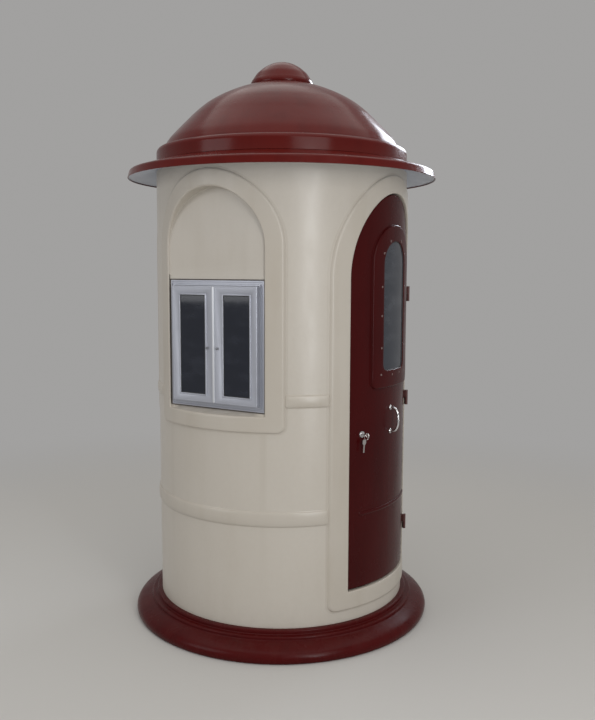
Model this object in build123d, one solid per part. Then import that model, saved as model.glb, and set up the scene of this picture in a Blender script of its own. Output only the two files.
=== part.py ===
from build123d import *

import os
from math import asin, cos, degrees, sin, sqrt

# Round guard booth moulded in glass fibre, in millimetres. The origin is at the middle of the foot on
# the floor, +Z is up, the door faces -Y and three windows face -X, +X and +Y. Door opens outwards
# about its right edge, seen from outside.

# Drum wall
wall_radius = 600.0
wall_thickness = 30.0
wall_top = 2130.0
relief = 9.0
relief_rounding = 8.0
relief_root = 5.0

# Plinth and floor
plinth_height = 109.0
plinth_overhang = 125.0
plinth_foot_inset = 10.0
plinth_nose_height = 24.0
plinth_shoulder_inset = 16.0
plinth_shoulder_height = 52.0
plinth_rounding = 12.0
lower_bead_overhang = 48.0
lower_bead_top = 90.0
upper_bead_overhang = 23.0
bead_height = 16.0
bead_rounding = 6.0
ledge_width = 16.0
deck_thickness = 20.0
deck_drop = 5.0
deck_clearance = 0.5

# Window bays
window_bays = {"left": 180.0, "right": 0.0, "rear": 90.0}
surround_half_width = 332.0
surround_bottom = 978.0
surround_corner = 30.0
arch_spring = 1770.0
niche_half_width = 256.0
niche_sill = 1060.0
niche_head = 1632.0
niche_depth = 59.0
niche_back_thickness = 26.0
sill_thickness = 30.0
sill_fall = 10.0
sill_shelf = 47.0

# Windows
window_clearance = 0.3
frame_bar = 28.0
frame_depth = 45.0
sash_gap = 0.3
sash_depth = 44.0
sash_proud = 22.0
sash_stile = 41.0
sash_meeting_stile = 50.0
sash_top_rail = 41.0
sash_bottom_rail = 36.0
glass_thickness = 5.0
glass_rebate = 7.0
glass_clearance = 0.3
rebate_setback = 7.0

# Belts
lower_belt_bottom = 567.0
upper_belt_bottom = 1089.0
lower_belt_height = 64.0
upper_belt_height = 52.0
belt_gap = 14.0

# Doorway
door_surround_half_width = 372.0
door_surround_bottom = 163.0
door_surround_top = 2096.0
door_spring = 1635.0
door_half_width = 287.0
door_bottom = 251.0
door_rise = 375.0
door_gap = 5.0

# Door leaf and its glass
door_thickness = 30.0
door_rib_height = 16.0
door_rib_relief = 5.0
door_rib_top = 600.0
door_rib_half_width = 235.0
light_half_width = 104.0
light_bottom = 1224.0
light_spring = 1698.0
light_frame_band = 74.0
light_frame_bottom_band = 77.0
light_frame_proud = 12.0
light_frame_seat = 0.3
light_frame_rounding = 5.0
door_glass_thickness = 6.0
door_glass_lap = 10.0

# Door hinges
hinge_heights = [420.0, 1050.0, 1560.0]
hinge_length = 72.0
hinge_barrel_radius = 7.0
hinge_barrel_lift = 8.0
hinge_running_gap = 0.5
hinge_plate_thickness = 3.0
hinge_plate_width = 36.0
hinge_web_width = 12.0
hinge_web_front = 2.0
hinge_web_depth = 30.0
hinge_edge_clearance = 1.0

# Door pull and lock
pull_offset = -20.0
pull_top = 1048.0
pull_centres = 110.0
pull_bar_radius = 5.0
pull_reach = 42.0
pull_shoulder_height = 40.0
pull_shoulder_reach = 33.0
pull_lap = 1.0
pull_foot_radius = 11.0
pull_foot_thickness = 5.0
lock_offset = -224.0
lock_height = 952.0
lock_rose_radius = 15.0
lock_rose_thickness = 6.0
lock_barrel_radius = 8.5
lock_barrel_proud = 12.0
fitting_root = 2.0

# Roof
brim_overhang = 135.0
brim_drop = 32.0
brim_lip_height = 36.0
brim_lip_lean = 13.0
brim_rounding = 10.0
soffit_thickness = 5.0
roof_rim_inset = 1.0
roof_rim_bottom = 2170.0
roof_rim_height = 70.0
roof_rim_rounding = 24.0
brim_upstand = 26.0
roof_wall = 20.0
dome_step = 34.0
dome_skirt = (541.0, 2279.0)
dome_shoulder = (429.0, 2397.0)
dome_brow = (297.0, 2490.0)
dome_top_height = 2543.0
dome_foot_slope = (-0.35, 1.0)
dome_crown_slope = (-1.0, 0.3)
cap_radius = 150.0
cap_height = 113.0
cap_wall = 10.0
cap_haunch = (0.714, 0.58)

# Values worked out from the sizes above
inner_radius = wall_radius - wall_thickness
relief_radius = wall_radius + relief
niche_plane = wall_radius - niche_depth
sill_inner = niche_plane - sill_shelf
plinth_radius = wall_radius + plinth_overhang
lower_bead_radius = wall_radius + lower_bead_overhang
upper_bead_radius = wall_radius + upper_bead_overhang
brim_radius = wall_radius + brim_overhang
roof_rim_radius = wall_radius - roof_rim_inset
opening_half_width = door_half_width + door_gap
opening_bottom = door_bottom - door_gap
opening_rise = door_rise + door_gap
reach = plinth_radius + brim_radius
hinge_axis_radius = relief_radius + hinge_barrel_lift
hinge_x = door_half_width + door_gap / 2
hinge_y = -sqrt(hinge_axis_radius ** 2 - hinge_x ** 2)

os.makedirs("parts", exist_ok=True)


def disc(radius, bottom, top):
    """Solid cylinder on the booth's axis between two heights."""
    return Pos(0, 0, bottom) * Cylinder(radius, top - bottom, align=(Align.CENTER, Align.CENTER, Align.MIN))


def ring(inner, outer, bottom, top):
    """Ring on the booth's axis."""
    return disc(outer, bottom, top) - disc(inner, bottom, top)


def block(x0, x1, y0, y1, z0, z1):
    """Box between two corners."""
    size = (x1 - x0, y1 - y0, z1 - z0)
    return Pos((x0 + x1) / 2, (y0 + y1) / 2, (z0 + z1) / 2) * Box(*size)


def rounded(face, corners, rounding):
    """Rounds the corners of a flat outline that are nearest to given points."""
    vertices = [face.vertices().sort_by_distance((x, y, 0))[0] for x, y in corners]
    return fillet(vertices, rounding)


def wedge(half_angle):
    """Slice of the drum on the -Y side between two radial faces."""
    near = inner_radius / 2
    section = Pos((near + reach) / 2, wall_top / 2) * Rectangle(reach - near, wall_top)
    return Rot(0, 0, -90 - half_angle) * revolve(Plane.XZ * section, Axis.Z, 2 * half_angle)


def arch_face(half_width, bottom, spring, rise, corner=0.0):
    """Arched outline in the XZ plane: straight sides, a half-ellipse head, corners rounded at the foot."""
    sides = Polyline((-half_width, spring), (-half_width, bottom), (half_width, bottom), (half_width, spring))
    head = EllipticalCenterArc((0, spring), half_width, rise, start_angle=0, arc_size=180)
    face = make_face([*sides.edges(), head])
    if corner:
        face = fillet(face.vertices().group_by(Axis.Y)[0], corner)
    return Plane.XZ * face


def arch_prism(face, near, far):
    """The outline pushed outwards from one distance in front of the axis to another."""
    return Pos(0, -near, 0) * extrude(face, far - near)


def facing(solid, bay_angle):
    """Turns a solid made for the -Y side to face a bay's angle."""
    return Rot(0, 0, bay_angle + 90) * solid


def round_crown(solid, radius, rounding):
    """Rounds the edges of the face of a raised moulding that lies on a given radius."""
    crown = [f for f in solid.faces().filter_by(GeomType.CYLINDER) if abs(f.radius - radius) < 0.01]
    edges = [e for f in crown for e in f.edges()]
    return fillet(edges, rounding)


def raised(face, rounding=relief_rounding):
    """Moulding of an outline raised on the drum's outside, rounded along its edges."""
    body = arch_prism(face, 0, reach) & ring(wall_radius - relief_root, relief_radius, 0, wall_top)
    return round_crown(body, relief_radius, rounding)


def belt(bottom, height, start, sweep):
    """Raised belt round part of the drum."""
    inner = wall_radius - relief_root
    section = Pos((inner + relief_radius) / 2, bottom + height / 2) * Rectangle(relief_radius - inner, height)
    section = fillet(section.vertices().group_by(Axis.X)[-1], relief_rounding)
    return Rot(0, 0, start) * revolve(Plane.XZ * section, Axis.Z, sweep)


def save(name, *solids):
    """Writes the solids of one named piece."""
    shape = solids[0] if len(solids) == 1 else Compound(children=list(solids))
    export_step(shape, f"parts/{name}.step")


# Mouldings on the drum
surround_face = arch_face(
    surround_half_width, surround_bottom, arch_spring, surround_half_width, surround_corner
)
niche_face = arch_face(niche_half_width, niche_sill, arch_spring, niche_half_width)
door_surround_rise = door_surround_top - door_spring
door_surround_face = arch_face(
    door_surround_half_width, door_surround_bottom, door_spring, door_surround_rise, surround_corner
)
opening_face = arch_face(opening_half_width, opening_bottom, door_spring, opening_rise)
gap_angle = degrees(belt_gap / wall_radius)
window_reach = degrees(asin(surround_half_width / relief_radius)) + gap_angle
door_reach = degrees(asin(door_surround_half_width / relief_radius)) + gap_angle


def window_bay_cutters():
    """Space of the niche in front of the window's plane, and of the window itself."""
    niche = arch_prism(niche_face, niche_plane, reach)
    hole = block(-niche_half_width, niche_half_width, -reach, -sill_inner, niche_sill, niche_head)
    return niche + hole


def niche_back():
    """Flat back of the niche over the window, and the sill under it."""
    back_face = arch_face(niche_half_width, niche_head, arch_spring, niche_half_width)
    inner_face = niche_plane - niche_back_thickness
    back = arch_prism(back_face, inner_face, reach)
    sill = block(
        -niche_half_width, niche_half_width, -reach, -sill_inner, niche_sill - sill_thickness, niche_sill
    )
    outside = disc(wall_radius - relief_root / 2, 0, wall_top)
    return (back + sill) & outside


def sill_slope():
    """Wedge that gives the sill its fall to the outside."""
    outline = Polyline(
        (-niche_plane, niche_sill),
        (-reach, niche_sill),
        (-reach, niche_sill - sill_fall * (reach - niche_plane) / (relief_radius - niche_plane)),
        close=True,
    )
    face = Plane.YZ * make_face(outline)
    return Pos(-niche_half_width, 0, 0) * extrude(face, 2 * niche_half_width)


drum = ring(inner_radius, wall_radius, plinth_height, wall_top)
drum += belt(lower_belt_bottom, lower_belt_height, door_reach - 90, 360 - 2 * door_reach)
drum += raised(door_surround_face)
for angle in window_bays.values():
    drum += facing(raised(surround_face), angle)
    drum += facing(niche_back(), angle)
pier_spans = {
    "front_right": (door_reach - 90, -window_reach),
    "rear_right": (window_reach, 90 - window_reach),
    "rear_left": (90 + window_reach, 180 - window_reach),
    "front_left": (180 + window_reach, 270 - door_reach),
}
for start, end in pier_spans.values():
    drum += belt(upper_belt_bottom, upper_belt_height, start, end - start)
for angle in window_bays.values():
    drum -= facing(window_bay_cutters() + sill_slope(), angle)
drum -= arch_prism(opening_face, 0, reach)

# The drum in the pieces that are bolted together
window_slot = wedge(window_reach - gap_angle / 2)
door_slot = wedge(door_reach - gap_angle / 2)
for side, angle in window_bays.items():
    bay = drum & facing(window_slot, angle)
    below = facing(block(-reach, reach, -reach, 0, 0, niche_sill), angle)
    save(f"{side}_wall_below_window", bay & below)
    save(f"{side}_window_surround", bay - below)

door_bay = drum & door_slot
save("wall_below_door", door_bay & block(-reach, reach, -reach, 0, 0, opening_bottom))
save("wall_over_door", door_bay & block(-reach, reach, -reach, 0, door_spring, wall_top))
save("left_door_jamb", door_bay & block(-reach, 0, -reach, 0, opening_bottom, door_spring))
save("right_door_jamb", door_bay & block(0, reach, -reach, 0, opening_bottom, door_spring))

piers = drum - door_slot
for angle in window_bays.values():
    piers -= facing(window_slot, angle)
quarters = {"front_right": (1, -1), "rear_right": (1, 1), "rear_left": (-1, 1), "front_left": (-1, -1)}
for name, (sx, sy) in quarters.items():
    span_x = sorted([0, sx * reach])
    span_y = sorted([0, sy * reach])
    quarter = block(*span_x, *span_y, 0, wall_top)
    save(f"{name}_pier", piers & quarter)

# Plinth and floor
deck_top = plinth_height - deck_drop
deck_radius = inner_radius - deck_clearance
ledge_radius = inner_radius - ledge_width
plinth_nose = (plinth_radius, plinth_nose_height)
plinth_shoulder = (plinth_radius - plinth_shoulder_inset, plinth_shoulder_height)
lower_bead = (lower_bead_radius, lower_bead_top)
upper_bead = (upper_bead_radius, plinth_height)
plinth_outline = Polyline(
    (ledge_radius, 0),
    (plinth_radius - plinth_foot_inset, 0),
    plinth_nose,
    plinth_shoulder,
    (lower_bead_radius, lower_bead_top - bead_height),
    lower_bead,
    (upper_bead_radius, plinth_height - bead_height),
    upper_bead,
    (inner_radius, plinth_height),
    (inner_radius, deck_top - deck_thickness),
    (ledge_radius, deck_top - deck_thickness),
    close=True,
)
plinth_face = rounded(make_face(plinth_outline), [plinth_nose, plinth_shoulder], plinth_rounding)
plinth_face = rounded(plinth_face, [lower_bead, upper_bead], bead_rounding)
save("base_plinth", revolve(Plane.XZ * plinth_face, Axis.Z))
save("floor_deck", disc(deck_radius, deck_top - deck_thickness, deck_top))


# Windows
frame_half = niche_half_width - window_clearance
frame_low = niche_sill + window_clearance
frame_high = niche_head - window_clearance
frame_back = niche_plane - frame_depth
sash_front = niche_plane + sash_proud
sash_back = sash_front - sash_depth


def window_frame():
    """Outer frame of flat bars, fixed in the wall."""
    outer = block(-frame_half, frame_half, -niche_plane, -frame_back, frame_low, frame_high)
    inner_half = frame_half - frame_bar
    inner = block(-inner_half, inner_half, -reach, 0, frame_low + frame_bar, frame_high - frame_bar)
    return outer - inner


def sash_outline(side):
    """Left, right, bottom and top of a sash, side being -1 on the left and 1 on the right."""
    outer = frame_half - frame_bar - sash_gap
    ends = sorted([side * sash_gap / 2, side * outer])
    return ends[0], ends[1], frame_low + frame_bar + sash_gap, frame_high - frame_bar - sash_gap


def sash_daylight(side):
    """Left, right, bottom and top of a sash's glass that shows."""
    left, right, bottom, top = sash_outline(side)
    left_stile = sash_stile if side < 0 else sash_meeting_stile
    right_stile = sash_meeting_stile if side < 0 else sash_stile
    return left + left_stile, right - right_stile, bottom + sash_bottom_rail, top - sash_top_rail


def sash(side):
    """One sash of mitred bars with a rebate for its glass."""
    left, right, bottom, top = sash_outline(side)
    body = block(left, right, -sash_front, -sash_back, bottom, top)
    left, right, bottom, top = sash_daylight(side)
    body -= block(left, right, -reach, 0, bottom, top)
    rebate = sash_front - rebate_setback
    return body - block(
        left - glass_rebate, right + glass_rebate, -rebate, 0, bottom - glass_rebate, top + glass_rebate
    )


def pane(side):
    """Glass of one sash, seated in its rebate."""
    left, right, bottom, top = sash_daylight(side)
    lap = glass_rebate - glass_clearance
    face = sash_front - rebate_setback - glass_clearance
    return block(left - lap, right + lap, -face, glass_thickness - face, bottom - lap, top + lap)


for side, angle in window_bays.items():
    save(f"{side}_window_frame", facing(window_frame(), angle))
    save(f"{side}_window_sashes", facing(sash(-1), angle), facing(sash(1), angle))
    save(f"{side}_window_glass", facing(pane(-1), angle), facing(pane(1), angle))

# Door
door_face = arch_face(door_half_width, door_bottom, door_spring, door_rise)
light_face = arch_face(light_half_width, light_bottom, light_spring, light_half_width, surround_corner)
light_frame_half = light_half_width + light_frame_band
light_frame_face = arch_face(
    light_frame_half,
    light_bottom - light_frame_bottom_band,
    light_spring,
    light_frame_half,
    surround_corner,
)
glass_half = light_half_width + door_glass_lap
glass_face = arch_face(
    glass_half, light_bottom - door_glass_lap, light_spring, glass_half, surround_corner + door_glass_lap
)
door_inner = wall_radius - door_thickness
leaf = arch_prism(door_face, 0, reach) & ring(door_inner, wall_radius, 0, wall_top)
door_rib_middle = door_rib_top - door_rib_height / 2
rib = arch_prism(
    Plane.XZ * Pos(0, door_rib_middle) * Rectangle(2 * door_rib_half_width, door_rib_height),
    0,
    reach,
) & ring(wall_radius - relief_root, wall_radius + door_rib_relief, 0, wall_top)
leaf += round_crown(rib, wall_radius + door_rib_relief, door_rib_relief / 2)
frame_root = wall_radius + light_frame_seat
leaf -= arch_prism(light_frame_face, 0, reach) & ring(wall_radius, reach, 0, wall_top)
leaf -= arch_prism(light_face, 0, reach)
save("door_leaf", leaf)

light_frame = arch_prism(light_frame_face, 0, reach) & ring(
    frame_root, wall_radius + light_frame_proud, 0, wall_top
)
light_frame = round_crown(light_frame, wall_radius + light_frame_proud, light_frame_rounding)
light_frame -= arch_prism(light_face, 0, reach)
glass_inner = wall_radius + glass_clearance
glass_outer = glass_inner + door_glass_thickness
light_frame -= arch_prism(glass_face, 0, reach) & ring(wall_radius, glass_outer + glass_clearance, 0, wall_top)
save("door_light_frame", light_frame)

pane_face = arch_face(
    glass_half - glass_clearance,
    light_bottom - door_glass_lap + glass_clearance,
    light_spring,
    glass_half - glass_clearance,
    surround_corner + door_glass_lap - glass_clearance,
)
door_glass = arch_prism(pane_face, 0, reach) & ring(glass_inner, glass_outer, 0, wall_top)
save("door_glass", door_glass)


# Door hinges
def barrel(bottom, top):
    """Piece of a hinge's barrel on the door's axis."""
    return Pos(hinge_x, hinge_y, 0) * disc(hinge_barrel_radius, bottom, top)


def hinge_plate(inner, x0, x1, bottom, top):
    """Curved plate on the drum or the leaf between two offsets from the doorway's middle."""
    return block(x0, x1, -reach, 0, bottom, top) & ring(inner, inner + hinge_plate_thickness, bottom, top)


fixed_hinges = []
moving_hinges = []
plate_end = door_half_width - hinge_barrel_lift / 2
for middle in hinge_heights:
    low = middle - hinge_length / 2
    high = middle + hinge_length / 2
    fixed_top = middle - hinge_running_gap / 2
    moving_low = middle + hinge_running_gap / 2
    fixed = barrel(low, fixed_top) + hinge_plate(
        relief_radius, hinge_x, hinge_x + hinge_plate_width, low, fixed_top
    )
    web = block(hinge_x, hinge_x + hinge_barrel_radius, hinge_y, hinge_y + hinge_barrel_lift, low, fixed_top)
    fixed_hinges.append(fixed + web - disc(relief_radius, 0, wall_top))
    moving = barrel(moving_low, high) + hinge_plate(
        wall_radius, plate_end - hinge_plate_width, plate_end, moving_low, high
    )
    web = block(
        hinge_x - hinge_web_width,
        hinge_x,
        hinge_y - hinge_web_front,
        hinge_y + hinge_web_depth,
        moving_low,
        high,
    )
    doorway_side = block(
        door_half_width - hinge_edge_clearance, reach, hinge_y + hinge_web_front, 0, moving_low, high
    )
    moving_hinges.append(moving + (web - disc(wall_radius, 0, wall_top) - doorway_side))
save("door_frame_hinges", *fixed_hinges)
save("door_leaf_hinges", *moving_hinges)


# Door pull and lock
def on_leaf(offset, height):
    """Plane on the leaf's outside at an offset from the door's middle, looking out."""
    angle = asin(offset / wall_radius)
    outward = (sin(angle), -cos(angle), 0)
    place = (wall_radius * outward[0], wall_radius * outward[1], height)
    return Plane(origin=place, x_dir=(cos(angle), sin(angle), 0), z_dir=outward)


def stub(offset, height, radius, length):
    """Round stub that stands on the leaf and fits its curve."""
    upright = (Align.CENTER, Align.CENTER, Align.MIN)
    body = Pos(0, 0, -fitting_root) * Cylinder(radius, length + fitting_root, align=upright)
    return on_leaf(offset, height) * body - disc(wall_radius, 0, wall_top)


pull_bottom = pull_top - pull_centres
pull = stub(pull_offset, pull_top, pull_foot_radius, pull_foot_thickness)
pull += stub(pull_offset, pull_bottom, pull_foot_radius, pull_foot_thickness)
middle_plane = on_leaf(pull_offset, (pull_top + pull_bottom) / 2)
half = pull_centres / 2
grip_outline = Spline(
    (half, pull_foot_thickness - pull_lap),
    (pull_shoulder_height, pull_shoulder_reach),
    (0, pull_reach),
    (-pull_shoulder_height, pull_shoulder_reach),
    (-half, pull_foot_thickness - pull_lap),
)
grip = middle_plane * (Plane.YZ * grip_outline)
start_plane = Plane(origin=grip @ 0, z_dir=grip % 0)
pull += sweep(start_plane * Circle(pull_bar_radius), grip)
save("door_pull", pull)

lock = stub(lock_offset, lock_height, lock_rose_radius, lock_rose_thickness)
lock += stub(lock_offset, lock_height, lock_barrel_radius, lock_barrel_proud)
save("door_lock", lock)

# Roof
soffit_low = wall_top - brim_drop
soffit_edge = brim_radius - soffit_thickness
soffit_outline = Polyline(
    (inner_radius, wall_top),
    (wall_radius, wall_top),
    (soffit_edge, soffit_low + soffit_thickness),
    (soffit_edge, soffit_low + 2 * soffit_thickness),
    (wall_radius, wall_top + soffit_thickness),
    (inner_radius, wall_top + soffit_thickness),
    close=True,
)
save("roof_soffit", revolve(Plane.XZ * make_face(soffit_outline), Axis.Z))

rim_top = roof_rim_bottom + roof_rim_height
dome_seat = roof_rim_bottom + brim_upstand
brim_lip_top = (brim_radius - brim_lip_lean, soffit_low + brim_lip_height)
brim_outline = Polyline(
    (inner_radius, wall_top + soffit_thickness),
    (wall_radius, wall_top + soffit_thickness),
    (soffit_edge, soffit_low + 2 * soffit_thickness),
    (soffit_edge, soffit_low),
    (brim_radius, soffit_low),
    brim_lip_top,
    (roof_rim_radius, roof_rim_bottom),
    (roof_rim_radius, dome_seat),
    (inner_radius, dome_seat),
    close=True,
)
brim_face = rounded(make_face(brim_outline), [brim_lip_top], brim_rounding)
save("roof_brim", revolve(Plane.XZ * brim_face, Axis.Z))

dome_base = roof_rim_radius - dome_step


def dome_curve(thickness):
    """Dome's curve from its foot to the cap, so far inside the outer one."""
    points = [
        (dome_base - thickness, rim_top),
        (dome_skirt[0] - 0.8 * thickness, dome_skirt[1] - 0.6 * thickness),
        (dome_shoulder[0] - 0.7 * thickness, dome_shoulder[1] - 0.7 * thickness),
        (dome_brow[0] - 0.5 * thickness, dome_brow[1] - 0.86 * thickness),
        (cap_radius, dome_top_height - thickness),
    ]
    return Spline(*points, tangents=[dome_foot_slope, dome_crown_slope])


rim_edge = (roof_rim_radius, rim_top)
dome_low = Polyline(
    (dome_base - roof_wall, rim_top),
    (inner_radius, dome_seat),
    (roof_rim_radius, dome_seat),
    rim_edge,
    (dome_base, rim_top),
)
dome_high = Polyline(
    (cap_radius, dome_top_height),
    (0, dome_top_height),
    (0, dome_top_height - roof_wall),
    (cap_radius, dome_top_height - roof_wall),
)
dome_edges = [*dome_low.edges(), dome_curve(0), *dome_high.edges(), dome_curve(roof_wall)]
dome_face = rounded(make_face(dome_edges), [rim_edge], roof_rim_rounding)
save("roof_dome", revolve(Plane.XZ * dome_face, Axis.Z))


def cap_face(radius, bottom, top):
    """Half of a domed cap's section, with its straight skirt as high as the cap's wall."""
    spring = bottom + cap_wall
    haunch = (radius * cap_haunch[0], spring + (top - spring) * cap_haunch[1])
    crown = Spline((radius, spring), haunch, (0, top), tangents=[(0, 1), (-1, 0)])
    sides = Polyline((0, top), (0, bottom), (radius, bottom), (radius, spring))
    return make_face([*sides.edges(), crown])


cap_top = dome_top_height + cap_height
cap_section = cap_face(cap_radius, dome_top_height, cap_top)
cap_section -= cap_face(cap_radius - cap_wall, dome_top_height, cap_top - cap_wall)
save("roof_cap", revolve(Plane.XZ * cap_section, Axis.Z))
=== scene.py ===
"""Studio model of a round guard booth moulded in glass fibre, in metres.

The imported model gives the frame. The drum, the roof, the foot, the windows and the door are modelled anew over
it, smooth and with their mouldings, and every finish is a node material on Object coordinates.
"""

import logging
import math
from dataclasses import dataclass, field
from enum import Enum

import bmesh
import bpy
from mathutils import Matrix, Vector


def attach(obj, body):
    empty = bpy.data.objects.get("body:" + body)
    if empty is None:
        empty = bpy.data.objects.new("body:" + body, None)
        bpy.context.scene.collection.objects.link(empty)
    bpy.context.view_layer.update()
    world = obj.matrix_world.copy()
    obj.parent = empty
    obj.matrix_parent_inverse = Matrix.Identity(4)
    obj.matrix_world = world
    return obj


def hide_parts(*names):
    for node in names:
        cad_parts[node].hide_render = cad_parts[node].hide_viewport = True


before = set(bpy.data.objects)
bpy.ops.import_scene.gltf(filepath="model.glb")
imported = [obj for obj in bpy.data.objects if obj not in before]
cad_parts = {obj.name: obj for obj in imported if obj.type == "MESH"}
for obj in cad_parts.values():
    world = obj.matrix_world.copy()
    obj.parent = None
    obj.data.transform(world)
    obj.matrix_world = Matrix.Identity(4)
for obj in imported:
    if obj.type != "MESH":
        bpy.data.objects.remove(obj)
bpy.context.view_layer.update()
LOG = logging.getLogger("booth")

Flat = tuple[float, float]
Loop = list[Flat]
Place = tuple[float, float, float]
Colour = tuple[float, float, float]
Form = bmesh.types.BMesh
Material = bpy.types.Material

WALL = 0.600
INNER = 0.570
WALL_FOOT = 0.109
WALL_TOP = 2.130
RELIEF = 0.009
SUNK = 0.004
SKIN = 0.0004
MERGE = 1e-5
CREASE = 32.0
EVEN: Place = (1.0, 1.0, 1.0)
ORIGIN: Flat = (0.0, 0.0)


def rotation(degrees: float, axis: str = "Z") -> Matrix:
    """Returns a turn about an axis."""
    return Matrix.Rotation(math.radians(degrees), 4, axis)


class Bay(Enum):
    """Where a bay of the drum faces, as its angle round the axis in degrees."""

    RIGHT = 0.0
    REAR = 90.0
    LEFT = 180.0
    DOOR = 270.0

    def turn(self) -> Matrix:
        """Returns the turn that takes a form made facing -Y to this bay."""
        return rotation(self.value + 90.0)


WINDOW_BAYS = (Bay.LEFT, Bay.RIGHT, Bay.REAR)


class Lie(Enum):
    """How an outline lies on the drum: as seen from the front, or measured round the wall."""

    SEEN = "seen"
    ROUND = "round"


class Body(Enum):
    """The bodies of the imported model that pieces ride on."""

    BOOTH = "booth"
    DOOR = "door"


class Slot(Enum):
    """The record's material slots."""

    CREAM = "cream_gelcoat"
    RED = "burgundy_gelcoat"
    WHITE = "white_gelcoat"
    BARS = "window_aluminium"
    GLAZING = "door_glazing"
    STEEL = "hinge_steel"
    CHROME = "chrome_trim"


# Shader sockets and graphs


class Sock:
    """A shader socket that can be used in arithmetic."""

    def __init__(self, graph: "Graph", socket: bpy.types.NodeSocket) -> None:
        """Wraps an output of a node in a graph."""
        self.graph = graph
        self.socket = socket

    def _math(self, operation: str, first: "Sock | float", second: "Sock | float") -> "Sock":
        """Returns the result of one Math node."""
        return self.graph.node("ShaderNodeMath", {"operation": operation}, {0: first, 1: second})

    def __add__(self, other: "Sock | float") -> "Sock":
        """Returns the sum."""
        return self._math("ADD", self, other)

    def __sub__(self, other: "Sock | float") -> "Sock":
        """Returns the difference."""
        return self._math("SUBTRACT", self, other)

    def __rsub__(self, other: float) -> "Sock":
        """Returns the difference, reflected."""
        return self._math("SUBTRACT", other, self)

    def __mul__(self, other: "Sock | float") -> "Sock":
        """Returns the product."""
        return self._math("MULTIPLY", self, other)

    __radd__ = __add__
    __rmul__ = __mul__

    def between(self, low: float, high: float) -> "Sock":
        """Returns 0 to 1 as the value goes smoothly from low to high."""
        settings = {"interpolation_type": "SMOOTHSTEP"}
        return self.graph.node("ShaderNodeMapRange", settings, {0: self, 1: low, 2: high})


class Graph:
    """The node graph of one material."""

    def __init__(self, name: str) -> None:
        """Starts an empty material.

        Args:
            name: The material's name.
        """
        self.material = bpy.data.materials.new(name)
        self.material.use_nodes = True
        self.tree = self.material.node_tree
        self.tree.nodes.clear()

    def node(self, kind: str, settings: dict, inputs: dict, outlet: int | str = 0) -> Sock:
        """Adds one node.

        Args:
            kind: The node's type.
            settings: Its settings by name, which are set first.
            inputs: The values or sockets of its inputs, by name or number.
            outlet: The output to return, by name or number.

        Returns:
            The chosen output.
        """
        node = self.tree.nodes.new(kind)
        for key, value in settings.items():
            setattr(node, key, value)
        for key, value in inputs.items():
            target = node.inputs[key]
            if isinstance(value, Sock):
                self.tree.links.new(value.socket, target)
            elif isinstance(value, tuple) and target.type == "RGBA":
                target.default_value = (*value, 1.0)
            else:
                target.default_value = value
        return Sock(self, node.outputs[outlet])

    def object_place(self, stretch: Place = EVEN) -> Sock:
        """Returns Object coordinates, stretched along each axis."""
        place = self.node("ShaderNodeTexCoord", {}, {}, "Object")
        return self.node("ShaderNodeMapping", {}, {"Vector": place, "Scale": stretch})

    def noise(self, scale: float, detail: float = 3.0, stretch: Place = EVEN) -> Sock:
        """Returns a noise from 0 to 1, by its lumps a metre, its octaves and its stretch along each axis."""
        inputs = {"Vector": self.object_place(stretch), "Scale": scale, "Detail": detail}
        return self.node("ShaderNodeTexNoise", {}, inputs, "Fac")

    def blend(self, share: Sock, first: "Sock | Colour", second: "Sock | Colour") -> Sock:
        """Returns a colour between two, by the second one's share."""
        return self.node("ShaderNodeMix", {"data_type": "RGBA"}, {0: share, 6: first, 7: second}, 2)

    def upward(self) -> Sock:
        """Returns how far the surface faces up, from -1 to 1."""
        normal = self.node("ShaderNodeNewGeometry", {}, {}, "Normal")
        return self.node("ShaderNodeSeparateXYZ", {}, {0: normal}, "Z")

    def height(self) -> Sock:
        """Returns the height over the floor in metres."""
        return self.node("ShaderNodeSeparateXYZ", {}, {0: self.object_place()}, "Z")

    def edges(self) -> Sock:
        """Returns 1 on sharp convex edges and 0 elsewhere."""
        return self.node("ShaderNodeNewGeometry", {}, {}, "Pointiness").between(0.53, 0.62)

    def bump(self, height: Sock, distance: float, under: Sock | None = None) -> Sock:
        """Returns a normal bent by a height from 0 to 1, by what 1 is in metres, over another normal if given."""
        more = {} if under is None else {"Normal": under}
        return self.node("ShaderNodeBump", {}, {"Height": height, "Distance": distance, "Strength": 1.0, **more})

    def finish(self, **inputs: "Sock | float | Colour") -> Material:
        """Ends the graph in a Principled shader.

        Args:
            **inputs: The shader's inputs, with _ for a space.

        Returns:
            The material.
        """
        named = {key.replace("_", " "): value for key, value in inputs.items()}
        self.node_out(self.node("ShaderNodeBsdfPrincipled", {}, named))
        return self.material

    def node_out(self, shader: Sock) -> None:
        """Joins a shader to the material's output."""
        out = self.tree.nodes.new("ShaderNodeOutputMaterial")
        self.tree.links.new(shader.socket, out.inputs["Surface"])


# Finishes


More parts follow.
